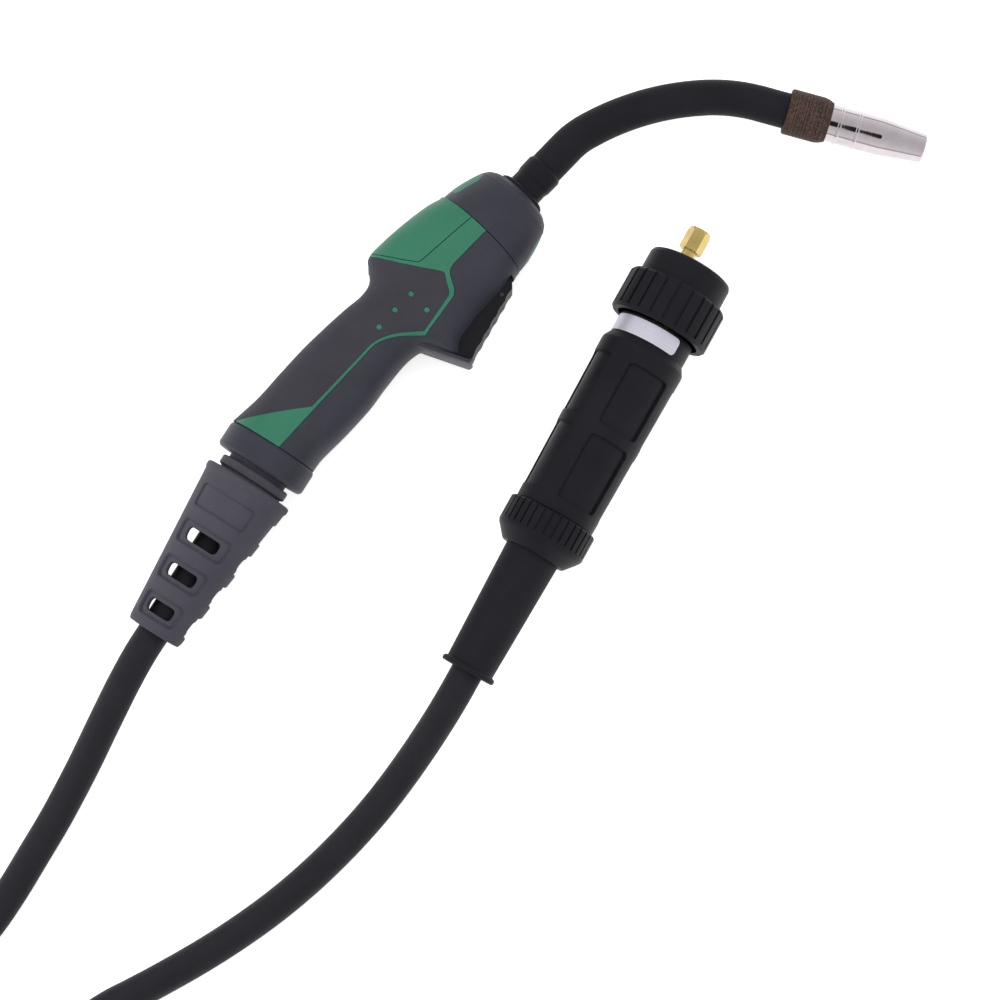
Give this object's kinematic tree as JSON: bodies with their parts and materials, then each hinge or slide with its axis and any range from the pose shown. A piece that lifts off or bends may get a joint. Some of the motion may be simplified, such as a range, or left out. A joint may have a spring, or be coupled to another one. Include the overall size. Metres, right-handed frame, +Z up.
{
  "type": "mig welding torch",
  "caption": "Gun-type welding torch: two-part moulded handle with sprung trigger, swan neck with gas nozzle, flexible rear boot, coiled cable and central plug with ribbed lock nut.",
  "frame": {"origin": "on the floor under the middle of the torch, from the boot's tail to the gas nozzle's mouth, with the torch lying on its side; cable and plug not counted", "axes": "+X along the neck's swivel axis from the handle to the neck, +Y towards the handle's hood, away from the trigger, +Z up, square to the handle's parting face"},
  "size_m": [0.885, 0.2835, 0.0534],
  "materials": {
    "shell": "fine grained",
    "green_shell": "fine grained",
    "soft_cover": "soft touch",
    "black_plastic": "satin",
    "black_rubber": "matte",
    "boot_rubber": "matte",
    "cable_rubber": "matte",
    "red_plastic": "satin",
    "strap": "woven",
    "fibre": "laid fibre",
    "steel": "plain",
    "nickel": "satin plated",
    "brass": "turned",
    "copper": "turned copper",
    "label": "silver film"
  },
  "bodies": {
    "handle": {"handle_lower_shell": "shell", "handle_upper_shell": "green_shell", "grip_overmould": "soft_cover", "hood_cover": "green_shell", "hood_screw": "steel", "accent_dots": "green_shell", "swivel_bush": "black_plastic", "power_block": "brass", "clamp_screws": "steel", "cable_core": "cable_rubber", "rear_collar": "shell", "microswitch": "black_plastic", "switch_terminals": "brass", "trigger_pin": "steel", "trigger_spring": "steel", "cable_torch_run": "cable_rubber", "cable_coil": "cable_rubber", "coil_ties": "strap", "cable_plug_run": "cable_rubber", "plug_cable_end": "cable_rubber", "plug_sleeve": "black_rubber", "plug_clamp_nut": "black_plastic", "plug_housing": "black_plastic", "plug_label": "label", "plug_core": "brass", "plug_insert": "shell", "plug_spigot": "brass", "spigot_seal": "black_rubber", "liner_nut": "brass"},
    "trigger": {"trigger": "black_plastic"},
    "button": {"switch_button": "red_plastic"},
    "lock_ring": {"lock_collar": "shell", "collar_inlays": "green_shell"},
    "neck": {"neck_hub": "brass", "neck_seal": "black_rubber", "neck_collar": "black_plastic", "neck_tube": "steel", "neck_sleeve": "black_rubber", "wire_liner": "steel", "insulator_sleeve": "fibre", "tip_holder": "brass", "contact_tip": "copper", "nozzle_spring": "steel"},
    "nozzle": {"gas_nozzle": "nickel"},
    "boot": {"boot_hub": "black_plastic", "cable_boot": "boot_rubber"},
    "lock_nut": {"lock_nut": "black_plastic"},
    "pin_a": {"contact_pin_a": "brass"},
    "pin_b": {"contact_pin_b": "brass"}
  },
  "joints": [
    {"name": "trigger_press", "type": "hinge", "parent": "handle", "child": "trigger", "pos_m": [0.0173, 0.0213, 0.0267], "axis": [0, 0, -1], "range_deg": [0, 6], "stiffness_Nm_per_rad": 0.1, "springref_deg": -5.73},
    {"name": "button_press", "type": "slide", "parent": "handle", "child": "button", "axis": [0, 1, 0], "range_m": [0, 0.0018]},
    {"name": "collar_lock", "type": "hinge", "parent": "handle", "child": "lock_ring", "pos_m": [0.045, 0.051, 0.0267], "axis": [1, 0, 0], "range_deg": [0, 60]},
    {"name": "neck_swivel", "type": "hinge", "parent": "handle", "child": "neck", "pos_m": [0.045, 0.051, 0.0267], "axis": [1, 0, 0], "range_deg": [-180, 180]},
    {"name": "nozzle_pull", "type": "slide", "parent": "neck", "child": "nozzle", "axis": [0.4648, -0.8854, 0], "range_m": [0, 0.03]},
    {"name": "boot_swivel", "type": "hinge", "parent": "handle", "child": "boot", "pos_m": [-0.1164, 0.0522, 0.0267], "axis": [-0.9808, -0.1951, 0], "range_deg": [-180, 180]},
    {"name": "lock_nut_spin", "type": "hinge", "parent": "handle", "child": "lock_nut", "pos_m": [0.06833, -0.04437, 0.0267], "axis": [0.9686, 0.2487, 0], "continuous": true},
    {"name": "pin_a_push", "type": "slide", "parent": "handle", "child": "pin_a", "axis": [-0.9686, -0.2487, 0], "range_m": [0, 0.003], "stiffness_N_per_m": 100, "springref_m": -0.001},
    {"name": "pin_b_push", "type": "slide", "parent": "handle", "child": "pin_b", "axis": [-0.9686, -0.2487, 0], "range_m": [0, 0.003], "stiffness_N_per_m": 100, "springref_m": -0.001}
  ],
  "couplings": [
    {"joint": "button_press", "follows": "trigger_press", "m_per_rad": 0.0146}
  ]
}
